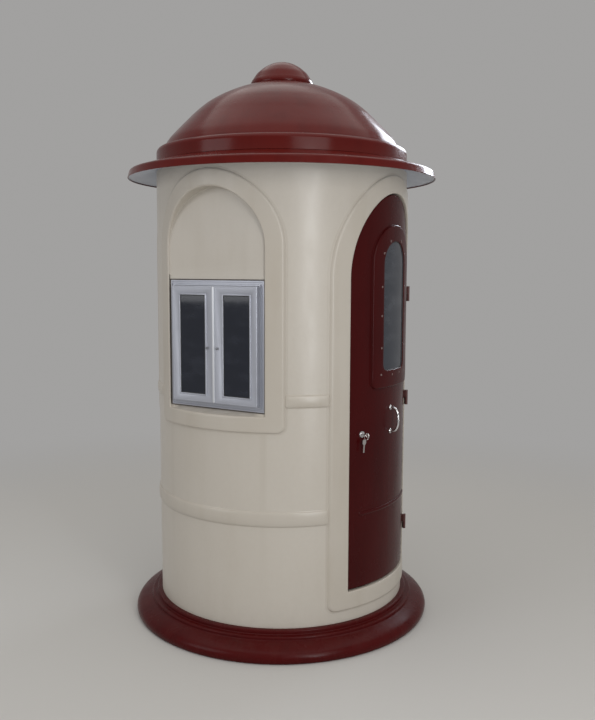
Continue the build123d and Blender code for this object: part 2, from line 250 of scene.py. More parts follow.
@dataclass(frozen=True)
class Gelcoat:
    """Glossy coloured gelcoat on glass fibre, a little wavy, with dust where it faces up."""

    name: str
    colour: Colour
    deep: Colour
    worn: Colour
    dust: Colour
    roughness: float
    dust_share: float
    gloss: float
    wave: float = 0.0016
    peel: float = 0.00006

    def make(self) -> Material:
        """Returns the material."""
        graph = Graph(self.name)
        cloud = graph.noise(2.4, 4.0).between(0.35, 0.7)
        streak = graph.noise(5.0, 3.0, (3.0, 3.0, 0.35)).between(0.42, 0.75)
        fine = graph.noise(55.0, 4.0)
        colour = graph.blend(cloud * 0.5 + streak * 0.4, self.colour, self.deep)
        colour = graph.blend(graph.edges() * (0.35 + 0.4 * fine), colour, self.worn)
        settled = graph.upward().between(0.25, 1.0) * graph.noise(16.0, 6.0).between(0.3, 0.72)
        splash = (1.0 - graph.height().between(0.0, 0.32)) * graph.noise(24.0, 5.0).between(0.45, 0.8)
        speck = graph.noise(210.0, 2.0).between(0.68, 0.78)
        dust = (settled + 0.7 * splash + 0.35 * speck) * self.dust_share
        colour = graph.blend(dust, colour, self.dust)
        rub = graph.noise(9.0, 5.0, (1.0, 1.0, 0.5)).between(0.4, 0.7)
        roughness = self.roughness + 0.1 * rub + 0.35 * dust + 0.04 * fine
        wavy = graph.bump(graph.noise(6.5, 2.0, (1.0, 1.0, 0.6)), self.wave)
        peel = graph.bump(graph.noise(330.0, 2.0), self.peel, wavy)
        return graph.finish(Base_Color=colour, Roughness=roughness, Normal=peel, Specular_IOR_Level=self.gloss)


@dataclass(frozen=True)
class SatinAluminium:
    """Satin anodised aluminium bar, drawn along its length."""

    name: str
    colour: Colour
    stain: Colour
    roughness: float
    metallic: float = 0.45

    def make(self) -> Material:
        """Returns the material."""
        graph = Graph(self.name)
        drawn = graph.noise(40.0, 3.0, (6.0, 6.0, 0.25))
        patch = graph.noise(11.0, 4.0).between(0.40, 0.80)
        speck = graph.noise(420.0, 2.0).between(0.68, 0.76)
        colour = graph.blend(patch * 0.25, self.colour, self.stain)
        colour = graph.blend(speck * 0.4, colour, self.stain)
        roughness = self.roughness + 0.08 * patch + 0.06 * drawn
        normal = graph.bump(drawn, 0.00012)
        return graph.finish(Base_Color=colour, Metallic=self.metallic, Roughness=roughness, Normal=normal)


@dataclass(frozen=True)
class ShadedGlass:
    """Near-opaque dark pane, its dark colour painted shade standing in for the shaded inside seen through the
    glass, with faint dust and wiping marks.
    """

    name: str
    colour: Colour
    dust: Colour
    alpha: float
    roughness: float = 0.05

    def make(self) -> Material:
        """Returns the material."""
        graph = Graph(self.name)
        wiped = graph.noise(7.0, 5.0, (1.0, 1.0, 2.2)).between(0.45, 0.75)
        grain = graph.noise(260.0, 3.0).between(0.55, 0.75)
        film = wiped * 0.1 + grain * 0.05
        colour = graph.blend(film, self.colour, self.dust)
        roughness = self.roughness + 0.25 * film
        return graph.finish(Base_Color=colour, Roughness=roughness, Alpha=self.alpha + 0.08 * wiped)


@dataclass(frozen=True)
class PlainMetal:
    """Plated or painted metal with fine wear."""

    name: str
    colour: Colour
    worn: Colour
    metallic: float = 1.0
    roughness: float = 0.16

    def make(self) -> Material:
        """Returns the material."""
        graph = Graph(self.name)
        smear = graph.noise(60.0, 5.0).between(0.4, 0.75)
        pit = graph.noise(700.0, 2.0).between(0.66, 0.76)
        colour = graph.blend(smear * 0.35 + pit * 0.3, self.colour, self.worn)
        colour = graph.blend(graph.edges() * 0.6, colour, self.worn)
        roughness = self.roughness + 0.16 * smear + 0.1 * pit
        normal = graph.bump(graph.noise(240.0, 3.0), 0.00005)
        return graph.finish(Base_Color=colour, Metallic=self.metallic, Roughness=roughness, Normal=normal)


@dataclass(frozen=True)
class Matt:
    """Matt board, rubber or sealant with grain."""

    name: str
    colour: Colour
    second: Colour
    roughness: float = 0.75

    def make(self) -> Material:
        """Returns the material."""
        graph = Graph(self.name)
        patch = graph.noise(9.0, 6.0).between(0.35, 0.7)
        grain = graph.noise(180.0, 4.0)
        colour = graph.blend(patch * 0.6 + 0.3 * grain, self.colour, self.second)
        normal = graph.bump(grain, 0.0004)
        return graph.finish(Base_Color=colour, Roughness=self.roughness + 0.1 * patch, Normal=normal)


Finish = Gelcoat | SatinAluminium | ShadedGlass | PlainMetal | Matt

CREAM = Gelcoat(
    "cream_gelcoat_skin", (0.534, 0.492, 0.431), (0.489, 0.443, 0.376), (0.59, 0.55, 0.49), (0.30, 0.26, 0.21),
    roughness=0.27, dust_share=0.20, gloss=0.5,
)
BURGUNDY = Gelcoat(
    "burgundy_gelcoat_skin", (0.106, 0.0062, 0.0044), (0.076, 0.0042, 0.0032), (0.135, 0.017, 0.013),
    (0.125, 0.050, 0.040), roughness=0.15, dust_share=0.07, gloss=0.20,
)
# Painted shade: a darker copy of the burgundy gelcoat for the door, standing in for the shade that falls on the
# door's side.
SHADED_DOOR_BURGUNDY = Gelcoat(
    "burgundy_gelcoat_door_painted_shade", (0.054, 0.0032, 0.0034), (0.038, 0.0024, 0.0026), (0.08, 0.011, 0.011),
    (0.08, 0.036, 0.032), roughness=0.20, dust_share=0.06, gloss=0.12,
)
# Painted shade: a darker copy of the burgundy gelcoat for the foot, standing in for less light falling on it.
SHADED_FOOT_BURGUNDY = Gelcoat(
    "burgundy_gelcoat_foot_painted_shade", (0.068, 0.0034, 0.0036), (0.048, 0.0025, 0.0028), (0.10, 0.013, 0.012),
    (0.10, 0.046, 0.038), roughness=0.22, dust_share=0.08, gloss=0.12,
)
PALE = Gelcoat(
    "pale_gelcoat_skin", (0.47, 0.51, 0.60), (0.41, 0.45, 0.53), (0.60, 0.62, 0.66), (0.36, 0.34, 0.32),
    roughness=0.35, dust_share=0.15, gloss=0.4,
)
ALUMINIUM = SatinAluminium("satin_window_bars", (0.43, 0.445, 0.50), (0.30, 0.31, 0.35), 0.28)
# Painted highlight: a lighter copy of the window aluminium on the cover strip, standing in for the bright line of
# light along it.
COVER_STRIP_HIGHLIGHT_ALUMINIUM = SatinAluminium("cover_strip_painted_highlight", (0.70, 0.72, 0.76), (0.55, 0.56, 0.59), 0.34)
# Painted shade: both panes are near-opaque, their dark colours standing in for the shaded inside of the booth
# behind them.
WINDOW_GLASS = ShadedGlass("window_panes_painted_inside_shade", (0.012, 0.015, 0.025), (0.08, 0.09, 0.12), 0.94)
DOOR_GLASS = ShadedGlass("door_pane_painted_inside_shade", (0.040, 0.045, 0.058), (0.22, 0.23, 0.25), 0.90)
CHROME = PlainMetal("plated_handle_metal", (0.72, 0.72, 0.73), (0.42, 0.40, 0.38))
KEY_METAL = PlainMetal("key_metal", (0.74, 0.71, 0.70), (0.45, 0.42, 0.40), roughness=0.24)
HINGE_PAINT = PlainMetal("painted_hinge_metal", (0.05, 0.006, 0.006), (0.12, 0.05, 0.045), 0.1, 0.45)
CATCH_GREY = PlainMetal("grey_sash_catches", (0.20, 0.21, 0.23), (0.34, 0.34, 0.35), 0.3, 0.35)
RIVET = PlainMetal("dull_rivet_heads", (0.30, 0.22, 0.21), (0.16, 0.08, 0.08), 0.8, 0.35)
SEALANT = Matt("window_sealant", (0.055, 0.045, 0.040), (0.14, 0.12, 0.10))
RUBBER = Matt("glazing_rubber", (0.012, 0.012, 0.013), (0.04, 0.04, 0.04), 0.6)
DECK = Matt("floor_board_coating", (0.20, 0.19, 0.18), (0.30, 0.28, 0.25))


# Outlines


FOOT_STEPS = 28
CORNER_STEPS = 6
SIDE_STEPS = 24
HEAD_STEPS = 80
BOX_CORNER_STEPS = 5


def arc(centre: Flat, radius: float, start: float, end: float, steps: int = 6) -> Loop:
    """Lists an arc's points, from one angle in degrees to another."""
    turns = (math.radians(start + (end - start) * i / steps) for i in range(steps + 1))
    return [(centre[0] + radius * math.cos(turn), centre[1] + radius * math.sin(turn)) for turn in turns]


def quarter(steps: int, first: int = 0) -> Loop:
    """Lists what 1 has over the sine, and over the cosine, at each step of a quarter turn."""
    turns = (math.radians(90.0 * i / steps) for i in range(first, steps + 1))
    return [(1.0 - math.sin(turn), 1.0 - math.cos(turn)) for turn in turns]


def curve_through(points: Loop, steps: int = 8) -> Loop:
    """Lists a smooth curve's points through some points.

    Args:
        points: The points to pass.
        steps: The steps between two of them.

    Returns:
        The curve's points.
    """
    padded = [points[0], *points, points[-1]]
    result = []
    for i in range(1, len(padded) - 2):
        a, b, c, d = (Vector(p) for p in padded[i - 1 : i + 3])
        for t in (step / steps for step in range(steps)):
            bend = (2.0 * a - 5.0 * b + 4.0 * c - d) * t**2 + (3.0 * b - a - 3.0 * c + d) * t**3
            result.append(tuple(0.5 * (2.0 * b + (c - a) * t + bend)))
    return [*result, points[-1]]


def arch_loop(half: float, bottom: float, spring: float, rise: float, corner: float) -> Loop:
    """Lists an arched outline from the middle of its foot, to the right, over the head and back.

    Args:
        half: Half its width.
        bottom: The height of its foot.
        spring: The height where its head starts.
        rise: How high the head stands over that.
        corner: The rounding of the foot's corners.

    Returns:
        The outline's points, without the first one again at the end.
    """
    inner, low = half - corner, bottom + corner
    right = [(inner * i / FOOT_STEPS, bottom) for i in range(FOOT_STEPS)]
    right += arc((inner, low), corner, -90.0, 0.0, CORNER_STEPS)[:-1]
    right += [(half, low + (spring - low) * i / SIDE_STEPS) for i in range(SIDE_STEPS)]
    head = [(half * x, spring + rise * z) for x, z in arc(ORIGIN, 1.0, 0.0, 180.0, HEAD_STEPS)]
    return right + head + [(-x, z) for x, z in reversed(right[1:])]


def box_loop(left: float, right: float, bottom: float, top: float, steps: int = 1, corner: float = 0.0) -> Loop:
    """Lists a rectangle's outline from its lower left corner, anticlockwise.

    Args:
        left: Its left side.
        right: Its right side.
        bottom: Its foot.
        top: Its top.
        steps: Its stations on the foot and on the top.
        corner: The rounding of its corners.

    Returns:
        The outline's points.
    """
    points = []
    for x, z, start, way in (
        (left, bottom, 180.0, 1), (right, bottom, 270.0, 0), (right, top, 0.0, -1), (left, top, 90.0, 0)
    ):
        centre = (x + (corner if x == left else -corner), z + (corner if z == bottom else -corner))
        points += arc(centre, corner, start, start + 90.0, BOX_CORNER_STEPS) if corner else [centre]
        along, level = points[-1]
        stretch = way * (right - left - 2.0 * corner) / steps
        points += [(along + stretch * i, level) for i in range(1, steps) if way]
    return points


def spine(loop: Loop, low: Flat, high: Flat) -> Loop:
    """Lists the nearest point of a straight line for every point of an outline.

    Args:
        loop: The outline.
        low: The line's first end.
        high: The line's other end.

    Returns:
        As many points as the outline has, all on the line.
    """
    start = Vector(low)
    line = Vector(high) - start
    shares = ((Vector(point) - start).dot(line) / line.length_squared for point in loop)
    return [tuple(start + line * min(1.0, max(0.0, share))) for share in shares]


# Sections run round outlines


@dataclass(frozen=True)
class Rung:
    """One line of a moulding's section, run round an outline.

    It lies an inset in metres, and a share of the way, from one outline towards another, and either a lift over
    the wall's outside or a plane's distance in front of the axis.
    """

    start: Loop
    toward: Loop
    inset: float = 0.0
    lift: float = 0.0
    share: float = 0.0
    plane: float | None = None

    def point(self, index: int, lie: Lie) -> Vector:
        """Returns one point of the line.

        Args:
            index: The station on the outline.
            lie: How the outline lies on the drum.

        Returns:
            The point, on the -Y side of the drum.
        """
        origin = Vector(self.start[index])
        way = Vector(self.toward[index]) - origin
        flat = origin + way * self.share
        if self.inset and way.length > MERGE:
            flat += way.normalized() * self.inset
        if self.plane is not None:
            return Vector((flat.x, -self.plane, flat.y))
        radius = WALL + self.lift
        if lie is Lie.SEEN:
            return Vector((flat.x, -math.sqrt(radius**2 - flat.x**2), flat.y))
        angle = flat.x / WALL
        return Vector((radius * math.sin(angle), -radius * math.cos(angle), flat.y))


def root(start: Loop, toward: Loop, flare: float, height: float, steps: int) -> list[Rung]:
    """Lists the foot of a moulding, from inside the wall up in a hollow rounding.

    Args:
        start: The moulding's outline.
        toward: The outline that it runs towards.
        flare: How far the rounding reaches out.
        height: How high the rounding reaches.
        steps: The steps of the rounding.

    Returns:
        The rungs, from the foot up.
    """
    under = [Rung(start, toward, -flare, lift) for lift in (-SUNK, -SKIN)]
    return under + [Rung(start, toward, -flare * s, height * c) for s, c in quarter(steps, 1)]


def band(outer: Loop, inner: Loop, height: float, flare: float, rounding: float, lip: Flat) -> list[Rung]:
    """Lists the section of a flat raised band, from inside the wall up, over it and round its inner edge.

    Args:
        outer: The band's outer outline.
        inner: Its inner outline.
        height: How high it stands.
        flare: The hollow rounding at its foot.
        rounding: The rounding of its outer edge.
        lip: The rounding of its inner edge, and the steps of that.

    Returns:
        The rungs, from the outer foot on.
    """
    rungs = root(outer, inner, flare, height - rounding, 4)
    rungs += [Rung(outer, inner, rounding * c, height - rounding * s) for s, c in quarter(6, 1)]
    rungs += [Rung(outer, inner, 0.0, height, share) for share in (0.2, 0.4, 0.6, 0.8)]
    return rungs + [Rung(inner, outer, lip[0] * s, height - lip[0] * c) for s, c in quarter(lip[1])]


def across(start: Loop, toward: Loop, steps: int, lift: float, low: float = 0.0) -> list[Rung]:
    """Lists the rungs of a level stretch between two outlines, from a share of the way on."""
    return [Rung(start, toward, 0.0, lift, low + (1.0 - low) * i / steps) for i in range(steps + 1)]


def net(form: Form, columns: int, rows: int) -> list[tuple[bmesh.types.BMVert, int, int]]:
    """Fills a form with a grid, and lists its points with their columns and rows."""
    verts = bmesh.ops.create_grid(form, x_segments=columns, y_segments=rows, size=0.5)["verts"]
    return [(vert, round((vert.co.x + 0.5) * columns), round((vert.co.y + 0.5) * rows)) for vert in verts]


def closed(form: Form) -> Form:
    """Merges a closed form's doubles and turns its faces outwards.

    Args:
        form: The form.

    Returns:
        The same form.
    """
    bmesh.ops.remove_doubles(form, verts=form.verts, dist=MERGE)
    bmesh.ops.dissolve_degenerate(form, edges=form.edges, dist=MERGE)
    bmesh.ops.recalc_face_normals(form, faces=form.faces)
    return form


def run_round(rungs: list[Rung], lie: Lie = Lie.SEEN, seam: int | None = None) -> Form:
    """Runs a closed section round an outline.

    Args:
        rungs: The section's lines, in order round the section.
        lie: How the outline lies on the drum.
        seam: The rung that ends on a middle line, where the next one starts on the same line lower down.

    Returns:
        A closed form on the -Y side of the drum.
    """
    form = bmesh.new()
    columns, rows = len(rungs[0].start), len(rungs)
    points = net(form, columns, rows)
    if seam is not None:
        fin = [f for f in form.faces if int((f.calc_center_median().y + 0.5) * rows) == seam]
        bmesh.ops.delete(form, geom=fin, context="FACES_ONLY")
    for vert, column, row in points:
        vert.co = rungs[row % rows].point(column % columns, lie)
    return closed(form)


def bar_ring(outer: Loop, inner: Loop, plane: float, depth: float, section: Loop) -> Form:
    """Runs a mitred bar round a rectangle, its face given as (share of its width, height over a plane)."""
    whole = [(0.0, -depth), *section, (1.0, -depth)]
    return run_round([Rung(outer, inner, share=share, plane=plane + height) for share, height in whole])


@dataclass(frozen=True)
class Bead:
    """A level half-round bead with rounded ends on the drum."""

    height: float
    flare: float
    corner: float
    lie: Lie

    def make(self, half: float, low: float, high: float, steps: int) -> Form:
        """Makes the bead.

        Args:
            half: Half its length.
            low: Its foot.
            high: Its top.
            steps: Its stations along.

        Returns:
            The closed form.
        """
        loop = box_loop(-half, half, low, high, steps, self.corner)
        inset, middle = (high - low) / 2.0, (high + low) / 2.0
        line = spine(loop, (inset - half, middle), (half - inset, middle))
        foot = 0.3 * self.height
        rungs = root(loop, line, self.flare, foot, 3)
        for share in (0.03, 0.08, 0.16, 0.27, 0.4, 0.55, 0.75, 1.0):
            lift = foot + (self.height - foot) * math.sqrt(1.0 - (1.0 - share) ** 2)
            rungs.append(Rung(loop, line, 0.0, lift, share))
        rungs.append(Rung(loop, line, 0.0, -SUNK, 1.0))
        return run_round(rungs, self.lie, len(rungs) - 2)


# Other forms


def lathe(section: Loop, steps: int = 240) -> Form:
    """Spins a section about the booth's axis.

    Args:
        section: The section's (radius, height) points, in order, closed by itself or by the axis.
        steps: The number of steps round.

    Returns:
        The closed form.
    """
    form = bmesh.new()
    verts = [form.verts.new((radius, 0.0, height)) for radius, height in section]
    edges = [form.edges.new((a, b)) for a, b in zip(verts, verts[1:])]
    if section[0][0] > MERGE or section[-1][0] > MERGE:
        edges.append(form.edges.new((verts[-1], verts[0])))
    bmesh.ops.spin(
        form, geom=verts + edges, cent=(0, 0, 0), axis=(0, 0, 1), angle=math.tau, steps=steps, use_merge=True
    )
    return closed(form)


def slab(loop: Loop, near: float, far: float) -> Form:
    """Makes a flat plate.

    Args:
        loop: Its outline, seen from the front.
        near: Its back's distance in front of the axis.
        far: Its front's distance in front of the axis.

    Returns:
        The closed form.
    """
    form = bmesh.new()
    face = form.faces.new([form.verts.new((x, -near, z)) for x, z in loop])
    result = bmesh.ops.extrude_face_region(form, geom=[face])
    moved = [item for item in result["geom"] if isinstance(item, bmesh.types.BMVert)]
    bmesh.ops.translate(form, verts=moved, vec=(0.0, near - far, 0.0))
    return closed(form)


def tube(path: list[Vector], radius: float, sides: int = 16) -> Form:
    """Runs a round bar along an open path, with flat ends.

    Args:
        path: The bar's middle line.
        radius: The bar's radius.
        sides: The number of its sides.

    Returns:
        The closed form.
    """
    form = bmesh.new()
    heading = (path[1] - path[0]).normalized()
    turn = Vector((0, 0, 1)).rotation_difference(heading)
    for vert in bmesh.ops.create_circle(form, cap_ends=False, segments=sides, radius=radius)["verts"]:
        vert.co = turn @ vert.co + path[0]
    edges = form.edges[:]
    for index in range(1, len(path)):
        ahead = (path[min(index + 1, len(path) - 1)] - path[index - 1]).normalized()
        turn = heading.rotation_difference(ahead)
        heading = ahead
        result = bmesh.ops.extrude_edge_only(form, edges=edges)
        edges = [item for item in result["geom"] if isinstance(item, bmesh.types.BMEdge)]
        for vert in {vert for edge in edges for vert in edge.verts}:
            vert.co = turn @ (vert.co - path[index - 1]) + path[index]
    bmesh.ops.holes_fill(form, edges=form.edges, sides=sides)
    return closed(form)


def ring_tube(path: list[Vector], radius: float, sides: int = 8) -> Form:
    """Runs a round bar along a closed path that lies in a plane.

    Args:
        path: The bar's middle line, without its first point again.
        radius: The bar's radius.
        sides: The number of its sides.

    Returns:
        The closed form.
    """
    form = bmesh.new()
    count = len(path)
    middle = sum(path, Vector()) / count
    normal = (path[0] - middle).cross(path[count // 4] - middle).normalized()
    for vert, column, row in net(form, count, sides):
        start = path[column % count]
        angle = math.tau * row / sides
        outward = (start - middle).normalized()
        vert.co = start + outward * (radius * math.cos(angle)) + normal * (radius * math.sin(angle))
    return closed(form)


def as_mesh(name: str, form: Form) -> bpy.types.Mesh:
    """Makes a mesh of a form.

    Args:
        name: The mesh's name.
        form: The form, which is freed.

    Returns:
        The mesh.
    """
    mesh = bpy.data.meshes.new(name)
    form.to_mesh(mesh)
    form.free()
    return mesh


def linked(name: str, data: bpy.types.ID) -> bpy.types.Object:
    """Makes an object of some data and puts it in the scene.

    Args:
        name: The object's name.
        data: Its mesh, lamp or camera.

    Returns:
        The object.
    """
    made = bpy.data.objects.new(name, data)
    bpy.context.scene.collection.objects.link(made)
    return made


def joined(*forms: Form) -> Form:
    """Puts several forms into one.

    Args:
        *forms: The forms, which are freed.

    Returns:
        One form with all of them.
    """
    whole = bmesh.new()
    for form in forms:
        mesh = as_mesh("part", form)
        whole.from_mesh(mesh)
        bpy.data.meshes.remove(mesh)
    return whole


def turned(form: Form, matrix: Matrix) -> Form:
    """Moves a form and returns it."""
    bmesh.ops.transform(form, matrix=matrix, verts=form.verts)
    return form


def cut_by(form: Form, cutters: list[Form]) -> Form:
    """Cuts forms out of a form.

    Args:
        form: The form to cut, which is freed.
        cutters: The forms to take from it, which are freed.

    Returns:
        What is left.
    """
    body = linked("cut_body", as_mesh("cut_body", form))
    helpers = [linked("cutter", as_mesh("cutter", cutter)) for cutter in cutters]
    for helper in helpers:
        modifier = body.modifiers.new("cut", "BOOLEAN")
        modifier.operation = "DIFFERENCE"
        modifier.solver = "EXACT"
        modifier.object = helper
    bpy.context.view_layer.update()
    evaluated = body.evaluated_get(bpy.context.evaluated_depsgraph_get())
    result = bmesh.new()
    result.from_mesh(evaluated.to_mesh())
    evaluated.to_mesh_clear()
    for helper in [*helpers, body]:
        mesh = helper.data
        bpy.data.objects.remove(helper)
        bpy.data.meshes.remove(mesh)
    return result


# Pieces


@dataclass
class Workshop:
    """Makes objects of forms, rides them on their bodies and hides the CAD nodes that they stand for."""

    materials: dict[str, Material] = field(default_factory=dict)
    count: int = 0

    def material(self, finish: Finish) -> Material:
        """Returns a finish's material, made once."""
        if finish.name not in self.materials:
            self.materials[finish.name] = finish.make()
        return self.materials[finish.name]

    def place(
        self, name: str, form: Form, finish: Finish, slot: Slot, replaces: tuple[str, ...] = (),
        body: Body = Body.BOOTH, crease: float = CREASE,
    ) -> None:
        """Makes an object of a form.

        Args:
            name: The piece's name.
            form: Its form, which is freed.
            finish: Its finish.
            slot: The record's material slot; not used.
            replaces: The CAD nodes that it stands for.
            body: The body that it rides on.
            crease: The angle in degrees from which an edge is sharp.
        """
        mesh = as_mesh(name, form)
        mesh.shade_smooth()
        mesh.set_sharp_from_angle(angle=math.radians(crease))
        mesh.materials.append(self.material(finish))
        piece = linked(name, mesh)
        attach(piece, body.value)
        if replaces:
            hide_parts(*replaces)
        self.count += 1
        LOG.info("%s: %d faces on %s", name, len(mesh.polygons), body.value)

    def dress(self, node: str, finish: Finish) -> None:
        """Gives a CAD node its finish.

        Args:
            node: The node's name.
            finish: The finish.
        """
        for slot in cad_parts[node].material_slots:
            slot.material = self.material(finish)
        LOG.info("%s: dressed", node)


@dataclass
class Doorway:
    """Sizes of the doorway and its raised surround."""

    outer_half: float = 0.372
    outer_bottom: float = 0.163
    outer_top: float = 2.096
    spring: float = 1.635
    half: float = 0.292
    bottom: float = 0.246
    rise: float = 0.380
    corner: float = 0.030
    rounding: float = 0.005

    def opening(self, more: float = 0.0) -> Loop:
        """Returns the opening's outline, made larger all round by some metres."""
        return arch_loop(self.half + more, self.bottom - more, self.spring, self.rise + more, 0.004)

    def surround(self) -> Form:
        """Returns the raised surround with the lining of the opening."""
        rise = self.outer_top - self.spring
        outer = arch_loop(self.outer_half, self.outer_bottom, self.spring, rise, self.corner)
        inner = self.opening()
        back = INNER - WALL
        lining = ((0.0, back + 0.002), (0.002, back - 0.001), (0.014, back - 0.001), (0.016, back + 0.003),
                  (0.02, -0.015))
        rungs = band(outer, inner, RELIEF, 0.013, 0.0085, (self.rounding, 5))
        return run_round(rungs + [Rung(inner, outer, inset, lift) for inset, lift in lining])


@dataclass
class Niche:
    """Sizes of a window bay: the raised surround and the flat-backed arched recess."""

    outer_half: float = 0.332
    outer_bottom: float = 0.978
    spring: float = 1.770
    half: float = 0.256
    sill: float = 1.060
    head: float = 1.632
    plane: float = 0.541
    back: float = 0.515
    sill_back: float = 0.494
    corner: float = 0.030
    fall: float = 0.010
    lip: float = 0.009
    hollow: float = 0.005
    margin: float = 0.003

    def recess(self, more: float = 0.0, fall: float = 0.0) -> Loop:
        """Returns the recess's outline, larger all round and with its foot lower by some metres."""
        return arch_loop(self.half + more, self.sill - fall - more, self.spring, self.half + more, 0.004)

    def surround(self) -> Form:
        """Returns the raised surround with the recess's sides and its sloping sill."""
        outer = arch_loop(self.outer_half, self.outer_bottom, self.spring, self.outer_half, self.corner)
        front = self.recess(fall=self.fall)
        back = self.recess()
        middle = spine(back, (0.0, self.head), (0.0, self.spring))
        rungs = band(outer, front, RELIEF, 0.013, 0.0085, (self.lip, 6))
        rungs += [Rung(back, middle, plane=self.plane + out) for out in (self.hollow, -SUNK)]
        return run_round([*rungs, Rung(front, outer, 0.012, -0.02)])

    def hollow_bead(self) -> Form:
        """Returns the rounded hollow where the recess's head meets its flat back."""
        whole = self.recess()
        first = next(i for i, (x, z) in enumerate(whole) if x > 0 and z >= self.head)
        arch = [point for point in whole[first:] if point[1] >= self.head]
        rows = [(self.hollow * s, self.hollow * c) for s, c in quarter(6)] + [(-0.002, -0.002)]
        form = bmesh.new()
        for vert, column, row in net(form, len(arch) - 1, len(rows)):
            inward, out = rows[row % len(rows)]
            x, z = arch[column]
            way = (Vector((0.0, min(self.spring, z))) - Vector((x, z))).normalized()
            vert.co = (x + way.x * inward, -self.plane - out, z + way.y * inward)
        bmesh.ops.remove_doubles(form, verts=form.verts, dist=MERGE)
        bmesh.ops.holes_fill(form, edges=form.edges, sides=len(rows) + 2)
        bmesh.ops.recalc_face_normals(form, faces=form.faces)
        return form

    def flat_back(self) -> Form:
        """Returns the recess's flat back over the window, and the sill's board under it."""
        side = self.half + self.margin
        loop = [point for point in self.recess(self.margin) if point[1] > self.head]
        over = slab([(side, self.head), *loop, (-side, self.head)], self.back, self.plane)
        sill = box_loop(-self.half, self.half, self.sill - 0.030, self.sill - 0.0005)
        return joined(over, slab(sill, self.sill_back, self.plane - 0.001))


@dataclass
class Drum:
    """The cream drum: its shell, its mouldings and its recesses."""

    doorway: Doorway = field(default_factory=Doorway)
    niche: Niche = field(default_factory=Niche)
    bead: Bead = Bead(RELIEF, 0.006, 0.010, Lie.ROUND)
    lower_belt: Flat = (0.567, 0.631)
    upper_belt: Flat = (1.089, 1.141)
    belt_gap: float = 0.004
    belt_step: float = 0.006
    margin: float = 0.003

    def shell(self) -> Form:
        """Returns the wall with its openings cut."""
        niche = self.niche
        cutters = [slab(self.doorway.opening(self.margin), 0.3, 0.8)]
        window = box_loop(-niche.half, niche.half, niche.sill - 0.012, niche.head)
        for turn in (bay.turn() for bay in WINDOW_BAYS):
            cutters.append(turned(slab(niche.recess(self.margin), niche.plane - 0.012, 0.8), turn))
            cutters.append(turned(slab(window, 0.45, 0.7), turn))
        section = [(INNER, WALL_FOOT), (WALL, WALL_FOOT), (WALL, WALL_TOP), (INNER, WALL_TOP)]
        return cut_by(lathe(section), cutters)

    def belt(self, start: float, end: float, low: float, high: float) -> Form:
        """Returns one raised belt.

        Args:
            start: The angle of its first end in degrees, 0 at +X.
            end: The angle of its other end.
            low: Its foot.
            high: Its top.

        Returns:
            The closed form.
        """
        half = math.radians(end - start) / 2.0 * WALL
        bead = self.bead.make(half, low, high, max(2, round(half / self.belt_step)))
        return turned(bead, rotation((start + end) / 2.0 + 90.0))

    def belts(self) -> Form:
        """Returns the lower belt and the four stretches of the upper one."""
        right, rear, left, front = (bay.value for bay in Bay)
        window, door = (
            math.degrees(math.asin(half / (WALL + RELIEF)) + self.belt_gap / WALL)
            for half in (self.niche.outer_half, self.doorway.outer_half)
        )
        first, last = front - 360.0 + door, front - door
        upper = ((first, right - window), (right + window, rear - window), (rear + window, left - window),
                 (left + window, last))
        stretches = [(first, last, *self.lower_belt), *((*ends, *self.upper_belt) for ends in upper)]
        return joined(*(self.belt(*stretch) for stretch in stretches))

    def build(self, shop: Workshop) -> None:
        """Builds the drum's pieces."""
        piers = tuple(f"{place}_pier" for place in ("front_left", "front_right", "rear_left", "rear_right"))
        doors = ("wall_below_door", "wall_over_door", "left_door_jamb", "right_door_jamb")
        shop.place("drum_shell", self.shell(), CREAM, Slot.CREAM, piers)
        shop.place("doorway_surround", self.doorway.surround(), CREAM, Slot.CREAM, doors)
        for bay in WINDOW_BAYS:
            side = bay.name.lower()
            for name, form, node in (
                ("surround", self.niche.surround(), "window_surround"),
                ("back", joined(self.niche.flat_back(), self.niche.hollow_bead()), "wall_below_window"),
            ):
                shop.place(f"{side}_bay_{name}", turned(form, bay.turn()), CREAM, Slot.CREAM, (f"{side}_{node}",))
        shop.place("drum_belts", self.belts(), CREAM, Slot.CREAM)


